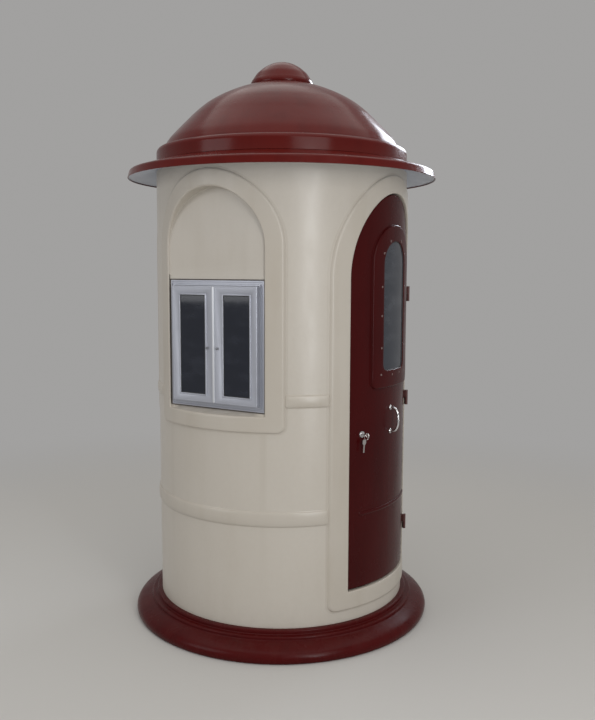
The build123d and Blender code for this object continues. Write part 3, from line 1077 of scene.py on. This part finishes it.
@dataclass
class Roof:
    """The brimmed dome roof with its cap and its pale underside."""

    brim: float = 0.735
    rim: float = 0.599
    rim_foot: float = 2.170
    rim_top: float = 2.240
    rim_round: float = 0.024
    top: float = 2.543
    crown: float = 0.020
    underside: float = 2.135

    def brim_section(self) -> Loop:
        """Returns the brim's section: underside, lip, rounded shoulder and the slope up to the rim."""
        lip = [(0.7300, 2.108), (0.7300, 2.0995), (0.7315, 2.098), (0.7335, 2.098), (self.brim, 2.0995)]
        shoulder = arc((0.7135, 2.1210), 0.0150, 10.0, 73.0, 7)
        slope = [(0.700, 2.1408), (0.660, 2.1525), (0.620, 2.1641), (self.rim, self.rim_foot)]
        return [(INNER, self.underside), (WALL, self.underside), *lip, (0.7320, 2.110), *shoulder, *slope,
                (INNER, self.rim_foot)]

    def dome_section(self) -> Loop:
        """Returns the dome's section with its rim."""
        outline = curve_through([
            (0.5650, self.rim_top), (0.5560, 2.2565), (0.5400, 2.2810), (0.5130, 2.3110), (0.4850, 2.3395),
            (0.4565, 2.3680), (0.4290, 2.3955), (0.3970, 2.4240), (0.3590, 2.4530), (0.3070, 2.4835),
            (0.2450, 2.5120), (0.2050, 2.5270), (0.1690, 2.5385), (0.1400, 2.5425),
        ])
        edge = arc((self.rim - self.rim_round, self.rim_top - self.rim_round), self.rim_round, 0.0, 86.0, 9)
        inner = [(0.130, 2.525), (0.300, 2.470), (0.415, 2.385), (0.505, 2.288), (0.545, self.rim_top)]
        top = [(0.0, self.top), (0.0, self.top - self.crown)]
        foot = self.rim_foot + 0.0005
        return [(self.rim, foot), *edge, (0.5705, self.rim_top - 0.0002), *outline, *top, *inner, (INNER, foot)]

    def cap_section(self) -> Loop:
        """Returns the cap's section."""
        foot = [(0.0, 0.0005), (0.1430, 0.0005), (0.1490, 0.0015), (0.1500, 0.0040)]
        rise = [(0.1500, 0.0120), (0.1462, 0.0220), (0.1392, 0.0320), (0.1310, 0.0440), (0.1205, 0.0580),
                (0.1062, 0.0710), (0.0868, 0.0860), (0.0572, 0.1020), (0.0286, 0.1105), (0.0, 0.1130)]
        return [(radius, self.top + height) for radius, height in foot + curve_through(rise, 5)]

    def soffit_section(self) -> Loop:
        """Returns the underside's section."""
        lower = [(INNER, WALL_TOP), (WALL, WALL_TOP), (0.7295, 2.1035)]
        return lower + [(0.7295, 2.1075), (WALL, 2.1345), (INNER, 2.1345)]

    def build(self, shop: Workshop) -> None:
        """Builds the roof's pieces."""
        for name, section, steps, finish, slot, node in (
            ("roof_brim_skin", self.brim_section(), 240, BURGUNDY, Slot.RED, "roof_brim"),
            ("roof_dome_skin", self.dome_section(), 240, BURGUNDY, Slot.RED, "roof_dome"),
            ("roof_cap_skin", self.cap_section(), 144, BURGUNDY, Slot.RED, "roof_cap"),
            ("roof_underside", self.soffit_section(), 240, PALE, Slot.WHITE, "roof_soffit"),
        ):
            shop.place(name, lathe(section, steps), finish, slot, (node,))


@dataclass
class Foot:
    """The burgundy foot with its two beads, and the floor."""

    inner: float = 0.554
    ledge: float = 0.084
    bead: float = 0.0060

    def section(self) -> Loop:
        """Returns the foot's section."""
        nose = curve_through([(0.7150, 0.0), (0.7215, 0.0060), (0.7250, 0.0200), (0.7225, 0.0340), (0.7120, 0.0480),
                              (0.6960, 0.0580), (0.6750, 0.0670), (0.6520, 0.0740)], 4)
        lower = arc((0.6420, 0.0840), self.bead, 0.0, 90.0)
        upper = arc((0.6170, 0.1030), self.bead, 0.0, 90.0)
        return [*nose, (0.6480, 0.0770), *lower, (0.6260, 0.0905), (0.6230, 0.0930), *upper, (INNER, WALL_FOOT),
                (INNER, self.ledge), (self.inner, self.ledge), (self.inner, 0.0)]

    def build(self, shop: Workshop) -> None:
        """Builds the foot and dresses the floor."""
        # The foot's gelcoat is the burgundy darkened with painted shade.
        shop.place("foot_skin", lathe(self.section()), SHADED_FOOT_BURGUNDY, Slot.RED, ("base_plinth",))
        shop.dress("floor_deck", DECK)


@dataclass
class Window:
    """One aluminium window of two sashes, in its bay."""

    bay: Bay
    half: float = 0.2557
    low: float = 1.0603
    high: float = 1.6317
    bar: float = 0.028
    gap: float = 0.0003
    plane: float = 0.541
    depth: float = 0.045
    proud: float = 0.022
    sash_depth: float = 0.044
    stile: float = 0.041
    meeting: float = 0.050
    top_rail: float = 0.041
    foot_rail: float = 0.036
    catches_at: Flat = (-0.036, 0.018)

    @property
    def face(self) -> float:
        """Returns the distance of the sashes' face in front of the axis."""
        return self.plane + self.proud

    def inside(self, less: float) -> tuple[float, float, float, float]:
        """Returns the window's left, right, foot and top, less a margin."""
        return less - self.half, self.half - less, self.low + less, self.high - less

    def frame(self) -> Form:
        """Returns the outer frame."""
        section = [(0.0, -0.001), (0.05, 0.0), (0.38, 0.0), (0.42, -0.003), (0.72, -0.003), (0.76, 0.005),
                   (0.96, 0.005), (1.0, 0.003)]
        outer, inner = (box_loop(*self.inside(less)) for less in (0.0, self.bar))
        return bar_ring(outer, inner, self.plane, self.depth, section)

    def sash_box(self, side: int) -> tuple[float, float, float, float]:
        """Returns a sash's left, right, foot and top, side being -1 on the left and 1 on the right."""
        _, outer, foot, top = self.inside(self.bar + self.gap)
        return *sorted((side * self.gap / 2.0, side * outer)), foot, top

    def daylight(self, side: int, less: float = 0.0) -> Loop:
        """Returns the outline of a sash's glass that shows.

        Args:
            side: -1 on the left and 1 on the right.
            less: The margin left out all round.

        Returns:
            The outline.
        """
        left, right, foot, top = self.sash_box(side)
        left_bar, right_bar = (self.stile, self.meeting)[::-side]
        return box_loop(left + left_bar + less, right - right_bar - less, foot + self.foot_rail + less,
                        top - self.top_rail - less)

    def sash(self, side: int) -> Form:
        """Returns one sash's bars."""
        bead = [(0.90 + 0.09 * x, 0.0042 * y - 0.0062) for x, y in arc(ORIGIN, 1.0, 170.0, 10.0, 8)]
        section = [(0.0, -0.0015), (0.03, 0.0), (0.11, 0.0), (0.14, -0.0012), (0.18, -0.0012), (0.80, -0.0070),
                   *bead, (1.0, -0.0062), (1.0, -0.0072)]
        return bar_ring(box_loop(*self.sash_box(side)), self.daylight(side), self.face, self.sash_depth, section)

    def gasket(self, side: int) -> Form:
        """Returns the dark rubber between a sash's bars and its glass."""
        section = [(0.0, -0.0058), (0.5, -0.0056), (1.0, -0.0066)]
        return bar_ring(self.daylight(side, -0.001), self.daylight(side, 0.0025), self.face, 0.0071, section)

    def sealant(self) -> Form:
        """Returns the bead of sealant round the frame."""
        outer = box_loop(-self.half - 0.0005, self.half + 0.0005, self.low - 0.0006, self.high + 0.001)
        inner = box_loop(0.0055 - self.half, self.half - 0.0055, self.low + 0.0045, self.high - 0.0045)
        section = [(0.0, 0.0018), (0.4, 0.0016), (0.8, 0.0008), (1.0, -0.0002)]
        return bar_ring(outer, inner, self.plane, 0.003, section)

    def lap(self) -> Form:
        """Returns the cover strip on the right sash where the two sashes meet."""
        left, _, foot, top = self.sash_box(1)
        outline = box_loop(left - 0.006, left + 0.005, foot + 0.002, top - 0.002)
        strip = slab(outline, self.face - 0.004, self.face + 0.0045)
        bmesh.ops.bevel(
            strip, geom=strip.edges[:], offset=0.0040, segments=5, affect="EDGES", profile=0.5, material=-1
        )
        return strip

    def catch(self, x: float) -> Form:
        """Returns a small round sash catch at an offset from the bay's middle."""
        section = [(0.0, -0.001), (0.0060, -0.001), (0.0060, 0.0010), (0.0048, 0.0022), (0.0042, 0.0022),
                   (0.0040, 0.0060), (0.0030, 0.0072), (0.0, 0.0074)]
        place = Matrix.Translation((x, -self.face, (self.low + self.high) / 2.0 - 0.015))
        return turned(lathe(section, 24), place @ rotation(90.0, "X"))

    def build(self, shop: Workshop) -> None:
        """Builds the window's pieces."""
        window = f"{self.bay.name.lower()}_window"
        sides = (-1, 1)
        for name, form, finish, nodes, crease in (
            ("outer_bars", self.frame(), ALUMINIUM, (f"{window}_frame",), 20.0),
            ("sash_bars", joined(*map(self.sash, sides)), ALUMINIUM, (f"{window}_sashes",), CREASE),
            # The cover strip's lighter aluminium is a painted highlight.
            ("cover_strip", self.lap(), COVER_STRIP_HIGHLIGHT_ALUMINIUM, (), CREASE),
            ("gaskets", joined(*map(self.gasket, sides)), RUBBER, (), CREASE),
            ("sealant", self.sealant(), SEALANT, (), CREASE),
            ("catches", joined(*map(self.catch, self.catches_at)), CATCH_GREY, (), CREASE),
        ):
            form = turned(form, self.bay.turn())
            shop.place(f"{window}_{name}", form, finish, Slot.BARS, nodes, crease=crease)
        shop.dress(f"{window}_glass", WINDOW_GLASS)


@dataclass
class DoorLeaf:
    """The burgundy door with its glazed light, pull, lock and keys."""

    half: float = 0.287
    bottom: float = 0.251
    spring: float = 1.635
    rise: float = 0.375
    thickness: float = 0.030
    edge_round: float = 0.006
    rib_bead: Bead = Bead(0.005, 0.002, 0.007, Lie.SEEN)
    rib_half: float = 0.235
    rib_span: Flat = (0.584, 0.600)
    light_half: float = 0.104
    light_bottom: float = 1.224
    light_spring: float = 1.698
    light_corner: float = 0.030
    band: float = 0.074
    foot_band: float = 0.077
    proud: float = 0.012
    glass_front: float = 0.0063
    glass_back: float = 0.0003
    pull_offset: float = -0.020
    pull_top: float = 1.048
    pull_centres: float = 0.110
    pull_radius: float = 0.0055
    lock_offset: float = -0.224
    lock_height: float = 0.952

    def light(self, more: float = 0.0) -> Loop:
        """Returns the light's outline, made larger all round by some metres."""
        half = self.light_half + more
        return arch_loop(half, self.light_bottom - more, self.light_spring, half, self.light_corner)

    def leaf(self) -> Form:
        """Returns the curved leaf."""
        outer = arch_loop(self.half, self.bottom, self.spring, self.rise, 0.006)
        hole = self.light(0.001)
        edge = self.edge_round
        rungs = [Rung(outer, hole, 0.0, lift) for lift in (0.001 - self.thickness, -edge)]
        rungs += [Rung(outer, hole, edge * c, -edge * s) for s, c in quarter(5, 1)]
        return run_round(rungs + across(outer, hole, 26, 0.0, 0.06) + across(hole, outer, 20, -self.thickness))

    def light_frame(self) -> Form:
        """Returns the raised frame round the light."""
        half = self.light_half + self.band
        outer = arch_loop(half, self.light_bottom - self.foot_band, self.light_spring, half, self.light_corner)
        inner = self.light()
        rungs = band(outer, inner, self.proud, 0.002, 0.006, (0.004, 5))
        rungs += [Rung(inner, outer, 0.0, self.glass_front + 0.0003), Rung(inner, outer, 0.012, -SUNK)]
        return run_round(rungs)

    def pane(self) -> Form:
        """Returns the light's curved pane."""
        outline = self.light(0.0097)
        line = spine(outline, (0.0, self.light_bottom + 0.09), (0.0, self.light_spring))
        front = across(outline, line, 8, self.glass_front)
        return run_round(front + across(line, outline, 8, self.glass_back), Lie.SEEN, len(front) - 1)

    def seal(self) -> Form:
        """Returns the rubber round the pane."""
        outer, inner = self.light(0.0005), self.light(-0.003)
        section = ((0.0, 0.0), (0.0, 0.002), (0.5, 0.0022), (1.0, 0.0))
        return run_round([Rung(outer, inner, 0.0, self.glass_front + up, share) for share, up in section])

    def on_leaf(self, offset: float, height: float, lift: float = 0.0) -> Matrix:
        """Finds a place on the leaf's outside, its Z looking out.

        Args:
            offset: How far right of the door's middle it is.
            height: Its height over the floor.
            lift: How far it stands off the leaf.

        Returns:
            The place.
        """
        angle = math.asin(offset / WALL)
        outward = Vector((math.sin(angle), -math.cos(angle), 0.0))
        sideways = Vector((math.cos(angle), math.sin(angle), 0.0))
        turn = Matrix((sideways, Vector((0.0, 0.0, 1.0)), outward)).transposed().to_4x4()
        return Matrix.Translation(outward * (WALL + lift) + Vector((0.0, 0.0, height))) @ turn

    def rivets(self) -> Form:
        """Returns the rivet heads on the light's frame."""
        section = [(0.0, -0.002), (0.0075, -0.002), *arc((0.0, -0.0075), 0.0090, 33.0, 90.0, 5)]
        places = [(side * 0.117, z) for side in (-1, 1) for z in (1.208, 1.328, 1.471, 1.600)]
        places += [(-0.026, 1.202), (0.050, 1.204)]
        for angle in (25.0, 62.0, 118.0, 155.0):
            places += arc((0.0, self.light_spring), self.light_half + 0.013, angle, angle, 1)[:1]
        return joined(*(turned(lathe(section, 16), self.on_leaf(x, z, self.proud)) for x, z in places))

    def pull(self) -> Form:
        """Returns the bowed pull with its feet."""
        half = self.pull_centres / 2.0
        rise = [(-half * share, out) for share, out in ((1.0, -0.001), (1.0, 0.012), (0.85, 0.030), (0.45, 0.040))]
        shape = curve_through([*rise, (0.0, 0.042), *((-along, out) for along, out in reversed(rise))], 5)
        place = self.on_leaf(self.pull_offset, self.pull_top - half)
        bar = tube([place @ Vector((0.0, along, out)) for along, out in shape], self.pull_radius)
        foot = [(0.0, -0.001), (0.0115, -0.001), (0.0115, 0.003), (0.0100, 0.0050), (0.0, 0.0055)]
        heights = (self.pull_top, self.pull_top - self.pull_centres)
        return joined(bar, *(turned(lathe(foot, 32), self.on_leaf(self.pull_offset, at)) for at in heights))

    def lock(self) -> Form:
        """Returns the lock's rose and barrel."""
        rose = [(0.0, -0.001), (0.015, -0.001), (0.015, 0.003), (0.0135, 0.0055), (0.0092, 0.0060),
                (0.0088, 0.0115), (0.0078, 0.0125), (0.0062, 0.0125), (0.0062, 0.0115), (0.0, 0.0115)]
        return turned(lathe(rose, 40), self.on_leaf(self.lock_offset, self.lock_height))

    def keys(self) -> Form:
        """Returns the key in the lock, its ring and the spare key that hangs from it."""
        place = self.on_leaf(self.lock_offset, self.lock_height, 0.0115)
        upright = place @ rotation(90.0)
        blade = slab(box_loop(-0.0035, 0.0035, -0.001, 0.001), -0.018, 0.003)
        head = [Vector((x, 0.0, z)) for x, z in arc((0.0, 0.027), 0.0095, 0.0, 360.0, 20)[:-1]]
        parts = [turned(blade, upright @ rotation(90.0, "X")), turned(ring_tube(head, 0.0022), upright)]
        tilt = Matrix.Translation((0.0, -0.009, 0.022)) @ rotation(75.0, "Y")
        ring = [tilt @ Vector((0.0, y, z)) for y, z in arc(ORIGIN, 0.011, 0.0, 360.0, 24)[:-1]]
        parts.append(turned(ring_tube(ring, 0.0009), place))
        spare = slab(box_loop(-0.0100, 0.0100, -0.0500, -0.0270, 1, 0.008), -0.0011, 0.0011)
        shank = slab(box_loop(-0.0038, 0.0038, -0.0850, -0.0480), -0.0009, 0.0009)
        hang = place @ Matrix.Translation((0.0, 0.006, 0.010)) @ rotation(-90.0, "X") @ rotation(4.0, "Y")
        return joined(*parts, turned(spare, hang), turned(shank, hang))

    def build(self, shop: Workshop) -> None:
        """Builds the door's pieces."""
        for name, form, finish, slot, nodes in (
            # The door's gelcoat is the burgundy darkened with painted shade.
            ("leaf_skin", self.leaf(), SHADED_DOOR_BURGUNDY, Slot.RED, ("door_leaf",)),
            ("rib", self.rib_bead.make(self.rib_half, *self.rib_span, 44), SHADED_DOOR_BURGUNDY, Slot.RED, ()),
            ("light_surround", self.light_frame(), SHADED_DOOR_BURGUNDY, Slot.RED, ("door_light_frame",)),
            ("light_pane", self.pane(), DOOR_GLASS, Slot.GLAZING, ("door_glass",)),
            ("light_seal", self.seal(), RUBBER, Slot.GLAZING, ()),
            ("light_rivets", self.rivets(), RIVET, Slot.STEEL, ()),
            ("pull_bar", self.pull(), CHROME, Slot.CHROME, ("door_pull",)),
            ("lock_barrel", self.lock(), CHROME, Slot.CHROME, ("door_lock",)),
            ("keys", self.keys(), KEY_METAL, Slot.CHROME, ()),
        ):
            shop.place(f"door_{name}", form, finish, slot, nodes, Body.DOOR)
        for node in ("door_leaf_hinges", "door_frame_hinges"):
            shop.dress(node, HINGE_PAINT)


# Studio


@dataclass(frozen=True)
class Lamp:
    """One soft lamp: its place, what it looks at, its width and height, its power, colour and cone in degrees."""

    name: str
    place: Place
    target: Place
    size: Flat
    watts: float
    colour: Colour
    cone: float = 180.0

    def hang(self) -> None:
        """Puts the lamp in the scene."""
        data = bpy.data.lights.new(self.name, "AREA")
        data.spread = math.radians(self.cone)
        data.shape = "RECTANGLE"
        data.size, data.size_y = self.size
        data.energy = self.watts
        data.color = self.colour
        aim(linked(self.name, data), self.place, Vector(self.target) - Vector(self.place))


def aim(thing: bpy.types.Object, place: Place, way: Vector, roll: float = 0.0) -> None:
    """Stands a lamp or camera at a place and points it.

    Args:
        thing: The lamp or camera.
        place: Where it stands.
        way: The direction that it looks in.
        roll: Its turn about that in radians.
    """
    turn = way.to_track_quat("-Z", "Y").to_matrix().to_4x4() @ Matrix.Rotation(roll, 4, "Z")
    thing.matrix_world = Matrix.Translation(place) @ turn


MIDDLE: Place = (0.0, 0.0, 1.3)
LAMPS = (
    Lamp("key", (-2.6, -3.9, 3.3), MIDDLE, (2.4, 2.4), 40.0, (1.0, 0.98, 0.95)),
    Lamp("window_light", (4.38, -0.70, 3.92), (0.0, 0.0, 2.9), (2.0, 1.8), 18.0, (0.84, 0.91, 1.0), 58.0),
    Lamp("ceiling", (0.0, 0.0, 6.2), (0.0, 0.05, 0.0), (8.0, 8.0), 150.0, (1.0, 0.97, 0.92)),
    Lamp("tall_pane", (-2.4, -3.45, 1.5), MIDDLE, (0.36, 2.0), 28.0, (0.96, 0.98, 1.0)),
    Lamp("fill", (-4.8, 2.2, 2.6), MIDDLE, (2.6, 2.6), 40.0, (0.97, 0.98, 1.0)),
)


@dataclass
class Studio:
    """The camera, the lamps and the floor."""

    camera_place: Place = (-3.4376, -2.1559, 1.673)
    heading: Flat = (0.85717, 0.51504)
    pitch: float = -0.109
    roll: float = 0.003
    lens: float = 41.1
    far_clip: float = 60.0
    floor_half: float = 14.0
    paint: Colour = (0.58, 0.57, 0.55)
    paint_roughness: float = 0.7
    fade: Flat = (2.0, 4.8)
    surroundings: Colour = (0.36, 0.355, 0.35)

    def camera(self) -> None:
        """Places the camera where the photograph was taken."""
        data = bpy.data.cameras.new("camera")
        data.lens = self.lens
        data.clip_end = self.far_clip
        camera = linked("camera", data)
        level = math.cos(self.pitch)
        way = Vector((self.heading[0] * level, self.heading[1] * level, math.sin(self.pitch)))
        aim(camera, self.camera_place, way, self.roll)
        bpy.context.scene.camera = camera

    def floor(self) -> None:
        """Lays the plain pale floor."""
        form = bmesh.new()
        bmesh.ops.create_grid(form, x_segments=1, y_segments=1, size=self.floor_half)
        mesh = as_mesh("floor", form)
        mesh.materials.append(self.floor_paint())
        linked("floor", mesh)

    def floor_paint(self) -> Material:
        """Returns the floor's pale paint, which fades into the surroundings far from the booth."""
        graph = Graph("pale_floor")
        away = graph.node("ShaderNodeVectorMath", {"operation": "LENGTH"}, {0: graph.object_place()}, "Value")
        paint = {"Base Color": self.paint, "Roughness": self.paint_roughness}
        near = graph.node("ShaderNodeBsdfPrincipled", {}, paint)
        far = graph.node("ShaderNodeEmission", {}, {"Color": self.surroundings, "Strength": 1.0})
        graph.node_out(graph.node("ShaderNodeMixShader", {}, {0: away.between(*self.fade), 1: near, 2: far}))
        return graph.material

    def world(self) -> None:
        """Sets the pale surroundings."""
        world = bpy.data.worlds.new("surroundings")
        world.use_nodes = True
        background = world.node_tree.nodes["Background"]
        background.inputs["Color"].default_value = (*self.surroundings, 1.0)
        background.inputs["Strength"].default_value = 1.0
        bpy.context.scene.world = world

    def build(self) -> None:
        """Sets up the studio."""
        bpy.context.scene.view_settings.view_transform = "Standard"
        self.camera()
        self.world()
        self.floor()
        for lamp in LAMPS:
            lamp.hang()


def main() -> None:
    """Builds the booth and the studio."""
    logging.basicConfig(level=logging.INFO, format="%(message)s")
    Studio().build()
    shop = Workshop()
    for made in (Drum(), Roof(), Foot(), *map(Window, WINDOW_BAYS), DoorLeaf()):
        made.build(shop)
    LOG.info("%d pieces", shop.count)


if __name__ == "__main__":
    main()
